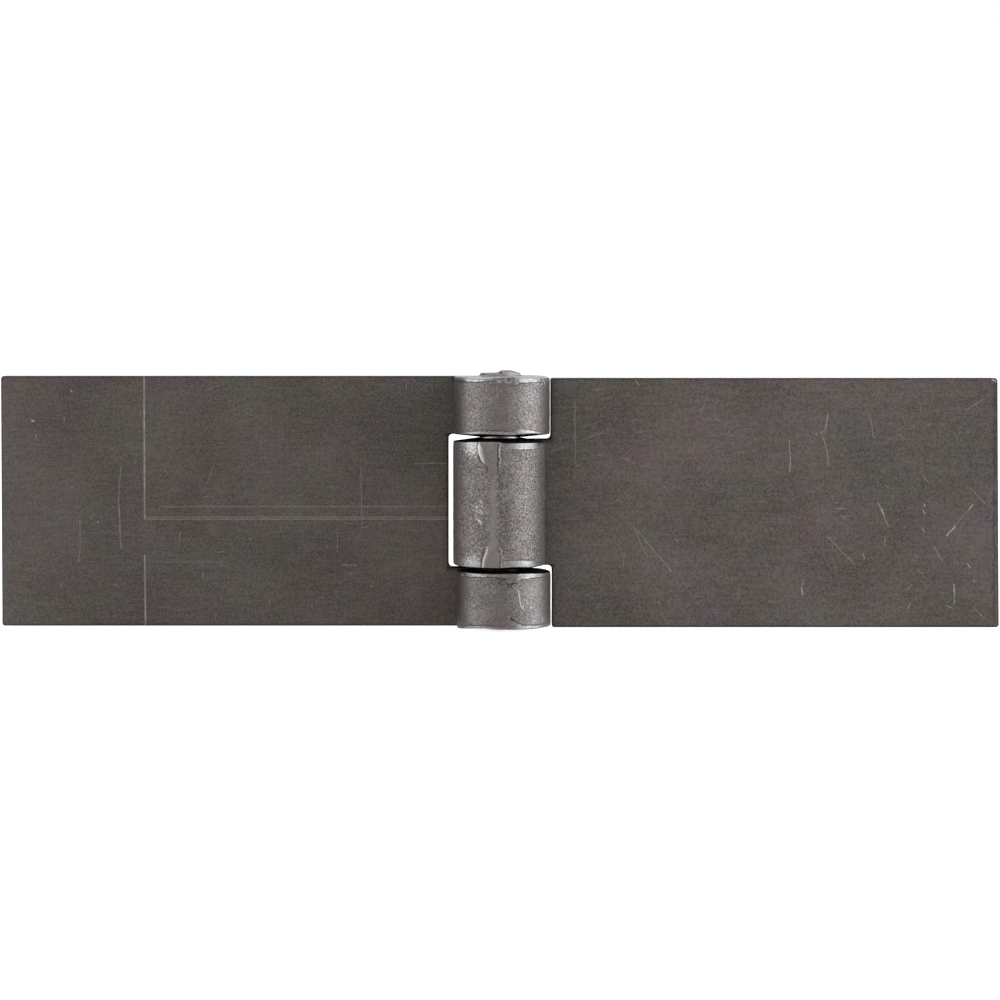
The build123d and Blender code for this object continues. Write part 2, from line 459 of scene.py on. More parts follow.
def cloud(tree, vector, scale, detail=2.0, roughness=0.5):
    """Soft noise from 0 to 1, with scale lumps to the metre."""
    inputs = {"Vector": vector, "Scale": scale, "Detail": detail, "Roughness": roughness}
    return add_node(tree, "ShaderNodeTexNoise", inputs).outputs[0]


def vector_step(tree, operation, *values, output=0):
    """The result of a vector operation. Those that give a plain number have it as output 1."""
    step = add_node(tree, "ShaderNodeVectorMath", dict(enumerate(values)), operation=operation)
    return step.outputs[output]


def stretch(tree, vector, factors):
    return vector_step(tree, "MULTIPLY", vector, factors)


def new_group(name, inputs, outputs):
    """An empty shader node group with named sockets, and its inside ends."""
    group = bpy.data.node_groups.new(name, "ShaderNodeTree")
    for label, kind in inputs:
        group.interface.new_socket(label, in_out="INPUT", socket_type=kind)
    for label, kind in outputs:
        group.interface.new_socket(label, in_out="OUTPUT", socket_type=kind)
    return group, group.nodes.new("NodeGroupInput").outputs, group.nodes.new("NodeGroupOutput").inputs


def place_group(tree, group, inputs):
    return add_node(tree, "ShaderNodeGroup", inputs, node_tree=group).outputs


def attribute(tree, label):
    return add_node(tree, "ShaderNodeAttribute", attribute_name=label).outputs["Fac"]


def new_steel(name):
    """A new material with its node tree, its shader and the place on the piece, in metres."""
    material = bpy.data.materials.new(name)
    material.use_nodes = True
    tree = material.node_tree
    place = add_node(tree, "ShaderNodeTexCoord").outputs["Object"]
    return material, tree, tree.nodes["Principled BSDF"], place


VECTOR, COLOUR, NUMBER = "NodeSocketVector", "NodeSocketColor", "NodeSocketFloat"
SCALE_TINTS = ((0.985, 1.0, 1.05, 1), (1.02, 1.0, 0.95, 1))
SCALE_TONES = (0.9, 1.1)
SCALE_ROUGHNESS = (0.68, 0.6)
GRAIN_STRENGTH = 0.1
SPECKLE_STRENGTH = 0.26
SKIN_TINTS = ((1.04, 0.982, 0.97, 1), (0.97, 1.012, 1.02, 1))
DRIFT_STRENGTH = 0.3
SPECK_SMOOTHNESS = 0.14


def rolled_scale_group():
    """Mill scale as it leaves the rolls: warm and cool clouds, a fine speckle and faint grain along X."""
    group, given, result = new_group(
        "rolled_scale",
        [("Vector", VECTOR), ("Warm", COLOUR), ("Cool", COLOUR)],
        [("Colour", COLOUR), ("Roughness", NUMBER), ("Height", NUMBER)],
    )
    place = given["Vector"]
    clouds = rise(group, cloud(group, place, 70, detail=6, roughness=0.72), 0.42, 0.64)
    rust = rise(group, cloud(group, place, 110, detail=5, roughness=0.7), 0.38, 0.62)
    grain = cloud(group, stretch(group, place, (0.1, 1, 1)), 1700, detail=2, roughness=0.6)
    speckle = cloud(group, place, 2300, detail=1)
    tone = cloud(group, place, 45, detail=6)
    light = rise(group, tone, 0.25, 0.75, *SCALE_TONES)
    for fine, strength in ((grain, GRAIN_STRENGTH), (speckle, SPECKLE_STRENGTH)):
        light = calculate(group, "ADD", light, rise(group, fine, 0.2, 0.8, -strength, strength))
    colour = blend(group, clouds, given["Cool"], given["Warm"])
    tint = blend(group, rust, *SCALE_TINTS)
    colour = blend(group, 1.0, colour, tint, "MULTIPLY")
    shade = add_node(group, "ShaderNodeCombineXYZ", {0: light, 1: light, 2: light}).outputs[0]
    group.links.new(blend(group, 1.0, colour, shade, "MULTIPLY"), result["Colour"])
    group.links.new(rise(group, tone, 0.2, 0.8, *SCALE_ROUGHNESS), result["Roughness"])
    group.links.new(calculate(group, "ADD", grain, speckle), result["Height"])
    return group


def rubbed_skin_group():
    """Scale broken up by bending: dull and bright specks in uneven drifts."""
    group, given, result = new_group(
        "rubbed_skin",
        [("Vector", VECTOR), ("Dull", COLOUR), ("Bright", COLOUR), ("Roughness", NUMBER)],
        [("Colour", COLOUR), ("Roughness", NUMBER), ("Height", NUMBER)],
    )
    place = given["Vector"]
    specks = cloud(group, place, 2600, detail=1, roughness=0.6)
    drifts = cloud(group, place, 260, detail=3, roughness=0.6)
    drifts = times(group, drifts, DRIFT_STRENGTH)
    share = rise(group, calculate(group, "ADD", specks, drifts), 0.4, 0.95)
    hue = rise(group, cloud(group, place, 200, detail=3, roughness=0.6), 0.35, 0.65)
    tint = blend(group, hue, *SKIN_TINTS)
    colour = blend(group, share, given["Dull"], given["Bright"])
    group.links.new(blend(group, 1.0, colour, tint, "MULTIPLY"), result["Colour"])
    smoother = times(group, share, SPECK_SMOOTHNESS)
    group.links.new(calculate(group, "SUBTRACT", given["Roughness"], smoother), result["Roughness"])
    group.links.new(specks, result["Height"])
    return group


def hairlines_group():
    """Fine short scratches from handling, in five directions, and a few nicks."""
    group, given, result = new_group("hairlines", [("Vector", VECTOR)], [("Mask", NUMBER)])
    place = given["Vector"]
    mask = 0.0
    for angle, length, fineness, share in (
        (0.35, 0.03, 1500, 0.5), (1.25, 0.03, 1500, 0.5), (0.1, 0.16, 2100, 1), (1.5, 0.16, 2100, 1),
        (2.4, 0.16, 2100, 0.8),
    ):
        inputs = {"Vector": place, "Axis": (0, 1, 0), "Angle": angle}
        turned = add_node(group, "ShaderNodeVectorRotate", inputs, rotation_type="AXIS_ANGLE").outputs[0]
        line = rise(group, cloud(group, stretch(group, turned, (length, 1, 1)), fineness, detail=1), 0.7, 0.8)
        broken = rise(group, cloud(group, turned, 130), 0.52, 0.66, 0.0, share)
        mask = most(group, mask, times(group, line, broken))
    cells = add_node(group, "ShaderNodeTexVoronoi", {"Vector": place, "Scale": 85.0})
    chosen = add_node(group, "ShaderNodeSeparateColor", {0: cells.outputs["Color"]}).outputs[0]
    nick = rise(group, cells.outputs["Distance"], 0.028, 0.012)
    nick = times(group, nick, rise(group, chosen, 0.6, 0.62))
    group.links.new(most(group, mask, nick), result["Mask"])
    return group


def scratch_group():
    """Strength on a straight scratch between two points, 0 away from it."""
    group, given, result = new_group(
        "scratch",
        [("Vector", VECTOR), ("Start", VECTOR), ("End", VECTOR), ("Width", NUMBER), ("Strength", NUMBER)],
        [("Mask", NUMBER)],
    )
    run = vector_step(group, "SUBTRACT", given["End"], given["Start"])
    reached = vector_step(group, "SUBTRACT", given["Vector"], given["Start"])
    length = vector_step(group, "DOT_PRODUCT", run, run, output=1)
    along = vector_step(group, "DOT_PRODUCT", reached, run, output=1)
    along = calculate(group, "DIVIDE", along, length)
    along = calculate(group, "MINIMUM", most(group, along, 0.0), 1.0)
    nearest = add_node(group, "ShaderNodeVectorMath", {0: run, "Scale": along}, operation="SCALE").outputs[0]
    apart = vector_step(group, "DISTANCE", reached, nearest, output=1)
    group.links.new(rise(group, apart, 0.0, given["Width"], given["Strength"], 0.0), result["Mask"])
    return group


rolled_scale = rolled_scale_group()
rubbed_skin = rubbed_skin_group()
hairlines = hairlines_group()
scratch = scratch_group()
BAND_TONES = ((0.16, 0.153, 0.151, 1), (0.275, 0.269, 0.266, 1))
# A painted highlight tone for lips and burrs, and a painted shade tone for grooves and hollows
LIP_HIGHLIGHT_TONE = (0.46, 0.43, 0.43, 1)
DARK_TONE = (0.02, 0.018, 0.018, 1)  # of painted shade in grooves, dents and beside bands, and of stains and painted shade on the leaves
EDGE_SHADE_TONE = (0.03, 0.028, 0.028, 1)
TORN_TONES = ((0.3, 0.289, 0.283, 1), (0.46, 0.447, 0.44, 1))
SCRATCH_AND_SHEEN_TONE = (0.4, 0.385, 0.375, 1)
GAP_SHADE_TONE = (0.01, 0.008, 0.008, 1)
PRESSED_ROUGHNESS, BRIGHT_ROUGHNESS, GAP_SHADE_ROUGHNESS = 0.45, 0.3, 0.95
FLAKE_STRENGTH = 1.1
LIP_RANGE, LIP_STRENGTH = (0.05, 0.7), 0.95
GROOVE_SHADE_RANGE, GROOVE_SHADE_STRENGTH = (-0.1, -0.8), 0.75
SHADE_LINE_PLACE, SHADE_LINE_RANGE, SHADE_LINE_STRENGTH = 0.8, (1.1, 0.3), 0.95  # the painted shade line outside a band
MARKS_END = (6.5 * MM, 6 * MM)  # depths behind the axis between which the marks on the front stop
EDGE_SHADE_WIDTH = (0.5, 0.2)
TORN_WIDTH = (0.04, 0.01)
SWAY = 0.9 * MM  # scratches, stains and painted patches wander from a straight line by up to half of this
SWAY_WAVES = 220.0  # to the metre
HAIRLINE_STRENGTH = 0.2
SPECK_HEIGHT = 1.3  # of rubbed skin, against that of scale
LEAF_BUMP = 0.04 * MM


def leaf_steel(name, warm, cool, pressed_tone, skin_look, scribed, scratches_and_sheen, stains_and_shade):
    """The finish of one leaf: scale on the flat, rubbed skin on the knuckles, bright bands and scratches.

    A scribed line, scratch, stain or painted patch is the x and z of its two ends, its half width and
    strength.
    """
    material, tree, shader, place = new_steel(name)
    edge, rolled, pressed, band, rub_and_highlight, line, lip, gap_shade = (
        attribute(tree, label) for label in ("edge", *ROLL_LABELS)
    )
    scale = place_group(tree, rolled_scale, {"Vector": place, "Warm": warm, "Cool": cool})
    skin = place_group(tree, rubbed_skin, {"Vector": place, **skin_look})
    colour = blend(tree, rolled, scale["Colour"], skin["Colour"])
    rough = blend_values(tree, rolled, scale["Roughness"], skin["Roughness"])

    patches = rise(tree, cloud(tree, place, 400, detail=3), 0.3, 0.6, 0.35, 0.8)
    smooth = times(tree, pressed, patches)
    colour = blend(tree, smooth, colour, pressed_tone)
    rough = blend_values(tree, smooth, rough, PRESSED_ROUGHNESS)

    flakes = cloud(tree, place, 1900, detail=2, roughness=0.7)
    flakes = rise(tree, flakes, 0.25, 0.75, -FLAKE_STRENGTH, FLAKE_STRENGTH)
    # A band rubbed bright, with a painted highlight where the lamps reflect in it.
    bright = times(tree, rise(tree, calculate(tree, "ADD", band, flakes), 0.0, 1.0), rub_and_highlight)
    band_tone = blend(tree, rise(tree, flakes, -0.9, 0.9), *BAND_TONES)
    colour = blend(tree, bright, colour, band_tone)
    # Painted highlight on raised lips and burrs, as if they caught a lamp.
    lip_highlight = rise(tree, lip, *LIP_RANGE, 0.0, LIP_STRENGTH)
    colour = blend(tree, lip_highlight, colour, LIP_HIGHLIGHT_TONE)
    bright = most(tree, bright, lip_highlight)
    rough = blend_values(tree, bright, rough, BRIGHT_ROUGHNESS)
    # Painted shade: a dark line just outside a band.
    beside = calculate(tree, "ABSOLUTE", calculate(tree, "ADD", band, SHADE_LINE_PLACE))
    groove = times(tree, rise(tree, beside, *SHADE_LINE_RANGE, 0.0, SHADE_LINE_STRENGTH), line)
    # Painted shade in the grooves beside the flats and in the dents.
    groove_shade = rise(tree, lip, *GROOVE_SHADE_RANGE, 0.0, GROOVE_SHADE_STRENGTH)
    groove = most(tree, groove, groove_shade)
    colour = blend(tree, groove, colour, DARK_TONE)

    flat_part = calculate(tree, "SUBTRACT", 1.0, rolled)
    chipped = rise(tree, cloud(tree, place, 700, detail=3, roughness=0.7), 0.3, 0.6, 0.5, 1.0)
    depth = add_node(tree, "ShaderNodeSeparateXYZ", {0: place}).outputs[1]
    on_front = rise(tree, depth, *MARKS_END)
    # Painted shade along the rounded edges of the front face, broken up in places.
    edge_shade = times(tree, rise(tree, edge, *EDGE_SHADE_WIDTH), flat_part)
    edge_shade = times(tree, edge_shade, times(tree, chipped, on_front))
    colour = blend(tree, edge_shade, colour, EDGE_SHADE_TONE)
    torn_lines = cloud(tree, stretch(tree, place, (1, 0.1, 1)), 1300, detail=3, roughness=0.65)
    torn_tone = blend(tree, rise(tree, torn_lines, 0.3, 0.7), *TORN_TONES)
    colour = blend(tree, rise(tree, edge, *TORN_WIDTH), colour, torn_tone)

    waves = {"Vector": place, "Scale": SWAY_WAVES, "Detail": 3.0}
    sway = add_node(tree, "ShaderNodeTexNoise", waves).outputs["Color"]
    sway = vector_step(tree, "SUBTRACT", sway, (0.5, 0.5, 0.5))
    swayed = vector_step(tree, "MULTIPLY_ADD", sway, (SWAY, 0, SWAY), place)
    seen_straight = stretch(tree, place, (1, 0, 1))
    seen_swayed = stretch(tree, swayed, (1, 0, 1))
    patchiness = rise(tree, cloud(tree, place, 800, detail=3, roughness=0.6), 0.3, 0.7, 0.45, 1.0)

    def drawn(lines, seen):
        """Strength of the strongest of some lines, weaker in places."""
        strongest = 0.0
        for x1, z1, x2, z2, width, strength in lines:
            ends = {"Start": Vector((x1, 0, z1)) * MM, "End": Vector((x2, 0, z2)) * MM}
            sizes = {"Vector": seen, "Width": width * MM, "Strength": strength}
            mask = place_group(tree, scratch, {**sizes, **ends})["Mask"]
            strongest = most(tree, strongest, mask)
        return times(tree, times(tree, strongest, patchiness), on_front)

    # Real stains and painted shade: dark along edges, notches and knuckle ends, beside the barrel, in broad
    # patches.
    colour = blend(tree, drawn(stains_and_shade, seen_swayed), colour, DARK_TONE)
    handled = place_group(tree, hairlines, {"Vector": place})["Mask"]
    handled = times(tree, handled, HAIRLINE_STRENGTH)
    marks = most(tree, drawn(scratches_and_sheen, seen_swayed), handled)
    marks = most(tree, marks, drawn(scribed, seen_straight))
    # Scratches and scribed lines, and a few broad faint patches of painted light, in a pale bare-metal tone.
    colour = blend(tree, marks, colour, SCRATCH_AND_SHEEN_TONE)
    # Painted shade on the end faces in the gaps between knuckles: black, matte and not metallic.
    colour = blend(tree, gap_shade, colour, GAP_SHADE_TONE)
    rough = blend_values(tree, gap_shade, rough, GAP_SHADE_ROUGHNESS)

    tree.links.new(colour, shader.inputs["Base Color"])
    tree.links.new(rough, shader.inputs["Roughness"])
    tree.links.new(calculate(tree, "SUBTRACT", 1.0, gap_shade), shader.inputs["Metallic"])
    shader.inputs["Specular IOR Level"].default_value = 0.0
    specks = times(tree, skin["Height"], SPECK_HEIGHT)
    height = blend_values(tree, rolled, scale["Height"], specks)
    height = blend_values(tree, most(tree, smooth, bright), height, 0.5)
    bump = add_node(tree, "ShaderNodeBump", {"Height": height, "Distance": LEAF_BUMP})
    tree.links.new(bump.outputs[0], shader.inputs["Normal"])
    return material


fixed_scribed = [
    (-85.6, 30.2, -85.6, -4.3, 0.33, 0.52), (-85.6, -13.1, -85.5, -30, 0.33, 0.5),
    (-85.6, -3.85, -12.6, -3.85, 0.22, 0.24), (-85.6, -4.35, -12.6, -4.35, 0.22, 0.28),
    (-82, -1.3, -12.6, -1.3, 0.2, 0.23), (-20.8, 9.1, -12.8, 9.1, 0.2, 0.25),
    (-85.1, -14.6, -66.3, -14.6, 0.3, 0.1),
]
# Scratches and dings, and two broad faint patches of painted light: at the far end and the bottom knuckle's
# right.
fixed_scratches_and_sheen = [
    (-91.3, 8.3, -91.9, 0.6, 0.2, 0.3), (-91.9, 0.6, -91.3, -11.4, 0.2, 0.35),
    (-101.2, -4.7, -101.2, -11.4, 0.18, 0.3), (-101.2, -11.4, -101.5, -14.6, 0.18, 0.3),
    (-33.4, 7.8, -33.3, -5.9, 0.18, 0.25), (-37.9, -15.5, -34.5, -15.5, 0.2, 0.3),
    (-39.1, -6.9, -39.1, -11.9, 0.15, 0.25), (-112.6, 19.4, -112.1, 19.3, 0.35, 0.8),
    (-103.2, 26.6, -103.1, 26.4, 0.3, 0.6), (-104.9, 19.9, -104.8, 19.3, 0.2, 0.6),
    (-97, -4.9, -96.8, -5, 0.3, 0.6), (-60.3, -9, -60.1, -9, 0.3, 0.5), (-31.1, -20.6, -31, -20.6, 0.3, 0.5),
    (4.4, -20.5, 5, -23.6, 0.24, 0.9), (5, -23.6, 5.4, -24.8, 0.2, 0.8), (5.4, -24.8, 5.7, -24.1, 0.18, 0.7),
    (7.5, -24.5, 7.6, -24.6, 0.3, 0.6), (-9.1, -17, -9, -17, 0.35, 1), (-0.6, 29.3, 0, 29.2, 0.4, 0.7),
    (10.2, -27.4, 10.3, -27.9, 0.25, 0.8), (-0.8, 28, -0.7, 27.2, 0.18, 0.4),
    (-0.6, 26.8, -0.6, 25.4, 0.18, 0.35), (0.1, 27.4, 0.2, 26.9, 0.18, 0.35), (-126, 6, -126, -32, 36, 0.065),
    (9, -19, 9, -28, 6, 0.07),
]
# Real stains, and painted shade along the notch, the gap, under knuckle ends, beside the barrel, the bottom
# edge and a broad patch.
fixed_stains_and_shade = [
    (fixed_notch, inner_end, fixed_notch, -inner_end, 0.7, 0.5), (-14.5, -22, -14, -29, 9, 0.34),
    (-4, -20, -4, -27, 8, 0.12), (0.7, -19, 0.7, -29, 3.2, 0.1), (5.6, -18, 9, -18, 1.1, 0.3),
    (5.5, 28.4, 9, 28.4, 1.3, 0.25), (-11.2, 29.5, -9, 29.1, 0.85, 0.8), (-4, 30.3, 3.5, 30.3, 0.6, 0.3),
    (-12.6, -16.4, -8.8, -16.4, 0.8, 0.7), (1.6, -18.95, 3.8, -18.8, 0.42, 1),
    (1.9, -19, 1.8, -19.9, 0.4, 1), (2.7, -19, 2.6, -19.7, 0.34, 0.9), (1.2, -20.2, 1.4, -20.9, 0.3, 0.7),
    (-0.4, -17.4, 0.5, -18, 0.4, 1), (0.6, -17.55, 1.5, -17.75, 0.4, 1),
    (-0.3, -18.4, 0.6, -19, 0.42, 0.8), (-57, 32, -57, -32, 24, 0.05), (-119, -29.7, -13, -29.7, 0.4, 0.4),
]
fixed_leaf.data.materials.append(leaf_steel(
    "fixed_leaf_steel", warm=(0.0795, 0.064, 0.0615, 1), cool=(0.075, 0.0665, 0.057, 1),
    pressed_tone=(0.102, 0.088, 0.083, 1),
    skin_look={"Dull": (0.077, 0.066, 0.0635, 1), "Bright": (0.164, 0.152, 0.149, 1), "Roughness": 0.56},
    scribed=fixed_scribed, scratches_and_sheen=fixed_scratches_and_sheen, stains_and_shade=fixed_stains_and_shade,
))
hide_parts("fixed_leaf")
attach(fixed_leaf, "fixed_side")

# The swing leaf
# The mate of the fixed leaf, from the same plate, with two notches that leave one middle tab. The tab is
# rolled tight round the pin, so that the pin turns with this leaf.
middle_bore = middle_roll - plate
swing_middle = (swing_low.z + swing_high.z) / 2
KNUCKLE_GAP = 1.0
MIDDLE_TOP_OFF = 0.19
SWING_EDGE_OFF = 0.05
middle_half = inner_end - KNUCKLE_GAP
middle_low, middle_high = swing_middle - middle_half, swing_middle + middle_half + MIDDLE_TOP_OFF
swing_tip = -rolled_length(middle_bore)
swing_notch = outer_roll + NOTCH_GAP
UPPER_NOTCH_SHIFT = -0.27  # the upper notch is cut a little closer to its knuckle than the lower one
LOWER_NOTCH_SHIFT = 0.07
upper_notch, lower_notch = swing_notch + UPPER_NOTCH_SHIFT, swing_notch + LOWER_NOTCH_SHIFT
END_SKEW = 0.33  # the outer end is not sheared quite square
TAB_SKEW = 0.17  # and the tab's upper edge rises towards the leaf
swing_top, swing_bottom = swing_high.z + SWING_EDGE_OFF, swing_low.z - SWING_EDGE_OFF
swing_outline = [
    (swing_high.x - END_SKEW, swing_top, OUTER_CORNER),
    (upper_notch, swing_top, TIP_CORNER),
    (upper_notch, middle_high, NOTCH_CORNER),
    (swing_tip, middle_high, TIP_CORNER),
    (swing_tip, middle_low, TIP_CORNER),
    (lower_notch, middle_low, NOTCH_CORNER),
    (lower_notch, swing_bottom, TIP_CORNER),
    (swing_high.x + END_SKEW, swing_bottom, OUTER_CORNER),
]
middle_flat = [
    (middle_low, 157, 180, 0.4, 0.6), (-13.5, 158, 180, 0.5, 0.7), (-11, 163, 179, 0.45, 0.5),
    (-9.5, 165.5, 178, 0, 0.1), (-8.5, 165.5, 178, 0, 0), (6.5, 166, 177.5, 0, 0), (7.5, 165, 177.5, 0, 0.5),
    (8.2, 164, 177.5, 0, 0.8), (9.2, 161, 177.5, 0.15, 0.9), (10.4, 156.5, 177.5, 0.6, 0.9),
    (11.5, 154, 177.5, 0.7, 0.8), (13.5, 152, 177.5, 0.7, 0.7), (middle_high, 152.5, 177.5, 0.15, 0.6),
]
middle_knuckle = Knuckle(
    low=middle_low, high=middle_high, bulge=0.26, tuck=0.27, trim=0, skew=TAB_SKEW,
    low_end=steady_end(0.48, [
        (20, 0, 1, 0.1, 0), (90, 0.8, 1, 0.1, 0), (105, 0.62, 1, 0.1, 0), (120, 0.48, 1.8, 0.3, 0),
        (130, 0.43, 2.7, 0.75, 0), (140, 0.4, 3.2, 0.95, 0), (152, 0.37, 3.2, 0.9, 0),
        (157, 0.35, 1.5, 0.05, 0), (165, 0.33, 1, 0, 0), (180, 0.3, 1, 0, 0), (184, 0.38, 1.5, 0.3, 0.3),
        (196, 0.5, 1.65, 0.55, 0.5), (206, 0.46, 1.7, 0.75, 0.6), (214, 0.37, 1.72, 0.75, 0.6),
        (220, 0.32, 1.75, 0.75, 0.6), (228, 0.31, 1.6, 0.5, 0.4), (235, 0.38, 1, 0.05, 0),
        (243, 0.48, 1, 0, 0),
    ]),
    high_end=steady_end(0.78, [
        (20, 0.1, 1, 0.1, 0), (90, 0.2, 1, 0.1, 0), (120, 0.19, 1.5, 0.15, 0), (130, 0.16, 2.4, 0.4, 0),
        (136, 0.1, 3.2, 0.8, 0), (150, 0.02, 3.6, 0.95, 0), (152, 0.01, 2.5, 0.5, 0),
        (153.5, -0.02, 0.3, 0.6, 0), (165, -0.05, 0.3, 0.6, 0), (176, -0.02, 0.3, 0.55, 0),
        (180, 0.05, 0.3, 0.4, 0), (184, 0.22, 0.4, 0.1, 0), (190, 0.29, 1.1, 0.1, 0.2),
        (196, 0.28, 1.4, 0.5, 0.6), (203, 0.28, 1.44, 0.8, 0.8), (212, 0.29, 1.45, 0.65, 0.8),
        (220, 0.3, 1.44, 0.6, 0.7), (228, 0.32, 1.4, 0.5, 0.6), (234, 0.32, 1.25, 0.1, 0.2),
        (243, 0.33, 1, 0, 0),
    ]),
    flats=[middle_flat],
    dents=[
        (150, -0.7, 0.3, -0.1, 0.6), (154.5, -1.4, 0.22, -0.08, 0.6), (153.5, -4.1, 0.3, -0.1, 0.5),
        (156, -4.7, 0.22, -0.1, 0.5), (154.5, 0.7, 0.2, -0.06, 0.5),
    ],
)
swing_leaf = rolled_leaf("swing_leaf_plate", 1, middle_bore, swing_outline, [middle_knuckle], False)
# Scratches and dings, and a faint lighter band of painted sheen down the middle knuckle's front.
swing_scratches_and_sheen = [
    (18, 23.7, 18.2, 9.3, 0.2, 0.3), (33, -6.9, 41.2, -17, 0.2, 0.35), (32, -5.9, 35.1, -12.7, 0.18, 0.25),
    (30.1, -12.9, 29.6, -16, 0.18, 0.25), (78.9, 21.1, 78.4, 17.2, 0.2, 0.55),
    (78.4, 17.2, 77.3, 16.3, 0.18, 0.3), (77.3, 16.3, 78.4, 13.6, 0.18, 0.4),
    (78.4, 13.6, 79.1, 8.6, 0.18, 0.35), (69.7, 14.8, 69.9, 7.1, 0.2, 0.45),
    (88.9, 20.8, 89.9, 15.3, 0.18, 0.3), (91, -0.6, 91.8, -2, 0.2, 0.6), (91.8, -2, 92.2, -3.2, 0.24, 0.85),
    (92.2, -3.2, 93.5, -6.1, 0.2, 0.45), (78.8, -8.3, 85.5, -15.3, 0.2, 0.35),
    (114, -0.8, 113, -1.9, 0.25, 0.65), (113, -1.9, 109.6, -5.9, 0.2, 0.25),
    (109.6, -5.9, 107.5, -8.3, 0.26, 0.8), (113.3, 3, 116.9, -0.6, 0.18, 0.3),
    (104.6, -11, 106.5, -14.3, 0.2, 0.35), (101.7, 5.7, 102.9, 4.9, 0.2, 0.4),
    (109.3, -20.2, 109.6, -22, 0.24, 0.7), (109.6, -22, 109.4, -24.7, 0.2, 0.55),
    (73.2, -18.6, 72.6, -20.8, 0.18, 0.3), (72.6, -20.8, 73, -22.5, 0.24, 0.75),
    (112.1, 21.8, 116.2, 24.5, 0.18, 0.3), (114.2, -25.7, 116.9, -28.3, 0.18, 0.3),
    (39.7, 3.5, 39.8, 3.4, 0.3, 0.5), (42.1, 3.5, 42.2, 3.5, 0.25, 0.4), (65, 4.2, 65.1, 4.2, 0.25, 0.4),
    (114.2, -18.9, 114.4, -19.4, 0.2, 0.5), (118.6, 29.3, 119.3, 29, 0.4, 0.7),
    (-5.6, -1.3, -4.75, -1.9, 0.28, 0.85), (-4.4, -1.4, -4.25, -2.2, 0.36, 0.85),
    (-5.5, -1.4, -5.2, -1.7, 0.3, 0.7), (-5.5, -3.5, -4.6, -4.1, 0.26, 0.9), (-4.75, -4, -4.35, -4.5, 0.4, 1),
    (-4.5, 0.9, -4.35, 0.7, 0.3, 0.6), (-4.3, -0.2, -4.2, -0.5, 0.3, 0.6),
    (-6.1, -0.3, -5.8, -0.4, 0.22, 0.5), (-1.8, 5.5, -1.8, -10, 1.8, 0.1),
    (-4.75, -7.1, -4.7, -7.6, 0.18, 0.5), (-4.3, -8.3, -4, -9.1, 0.15, 0.4), (-5, -10, -4.6, -10.6, 0.2, 0.5),
    (-5.2, -11.2, -4.75, -12, 0.22, 0.6), (-4.6, 1.2, -4.5, 0.3, 0.18, 0.5),
    (29.4, 10.6, 30.4, 10.2, 0.15, 0.3), (30.8, 10.4, 31.3, 9.6, 0.15, 0.3),
    (31.6, 9.4, 32.4, 9.1, 0.15, 0.25), (48, 4.4, 49, 4.1, 0.15, 0.3), (49.2, 4.5, 50.2, 3.8, 0.15, 0.35),
    (42.4, -9, 42.8, -9.8, 0.2, 0.45), (16.1, -21, 16.9, -22.1, 0.15, 0.3),
    (27.2, -20.2, 28.4, -21.4, 0.15, 0.3), (38.1, -24.2, 38.5, -24.7, 0.2, 0.45),
    (32, 17.3, 32.6, 16.8, 0.15, 0.25), (32.6, 29.4, 33.3, 28, 0.15, 0.5),
    (30.8, 26.3, 30.8, 25.5, 0.15, 0.45), (87.4, -12.6, 87.7, -14, 0.18, 0.5),
    (98.8, 18.3, 99.6, 17.9, 0.15, 0.35), (102.1, -0.6, 102.3, -1.3, 0.2, 0.7),
    (102, -2.6, 102.4, -3.2, 0.2, 0.7), (101.9, -6.4, 102.4, -7.4, 0.2, 0.7),
    (92.9, -8.6, 92.8, -10.6, 0.15, 0.4), (112.5, -15, 113.3, -15.9, 0.2, 0.7),
    (99.3, -13.9, 100.3, -14.6, 0.12, 0.3), (100.6, -16.8, 102, -17.4, 0.15, 0.45),
    (99.4, -20, 98, -21.5, 0.15, 0.45), (98.8, -24.4, 98.3, -26, 0.18, 0.5),
    (107.4, -25.2, 108.6, -25.6, 0.18, 0.5),
]
# Real stains, and painted shade along the outer end, bottom edge, notches, under the knuckle's upper end and
# in broad patches.
swing_stains_and_shade = [
    (119, 29, 119.2, -29, 0.9, 0.55), (13, -30.1, 119, -30.1, 0.4, 0.4), (9.3, 14.35, 12.3, 14.4, 0.55, 0.9),
    (upper_notch, swing_high.z, upper_notch, middle_high, 0.7, 0.5),
    (lower_notch, swing_low.z, lower_notch, middle_low, 0.7, 0.5), (115.4, 25.2, 115.5, 25, 0.5, 0.6),
    (99, -22.3, 99.1, -22.3, 0.4, 0.6), (82.8, -17.2, 88.6, -19.6, 0.25, 0.35),
    (95.5, 14.3, 95.9, 13.9, 0.4, 0.4), (124, 32, 124, -32, 40, 0.1), (1.1, 7, 1.1, -8, 2.4, 0.2),
    (-3.5, 1.5, -3, 0.2, 0.3, 0.5), (-3.3, -0.4, -3.1, -1, 0.3, 0.5),
]
swing_leaf.data.materials.append(leaf_steel(
    "swing_leaf_steel", warm=(0.089, 0.071, 0.0705, 1), cool=(0.0835, 0.0735, 0.0635, 1),
    pressed_tone=(0.131, 0.118, 0.111, 1),
    skin_look={"Dull": (0.069, 0.0585, 0.0552, 1), "Bright": (0.19, 0.177, 0.172, 1), "Roughness": 0.66},
    scribed=[], scratches_and_sheen=swing_scratches_and_sheen, stains_and_shade=swing_stains_and_shade,
))
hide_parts("swing_leaf")
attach(swing_leaf, "swing_side")

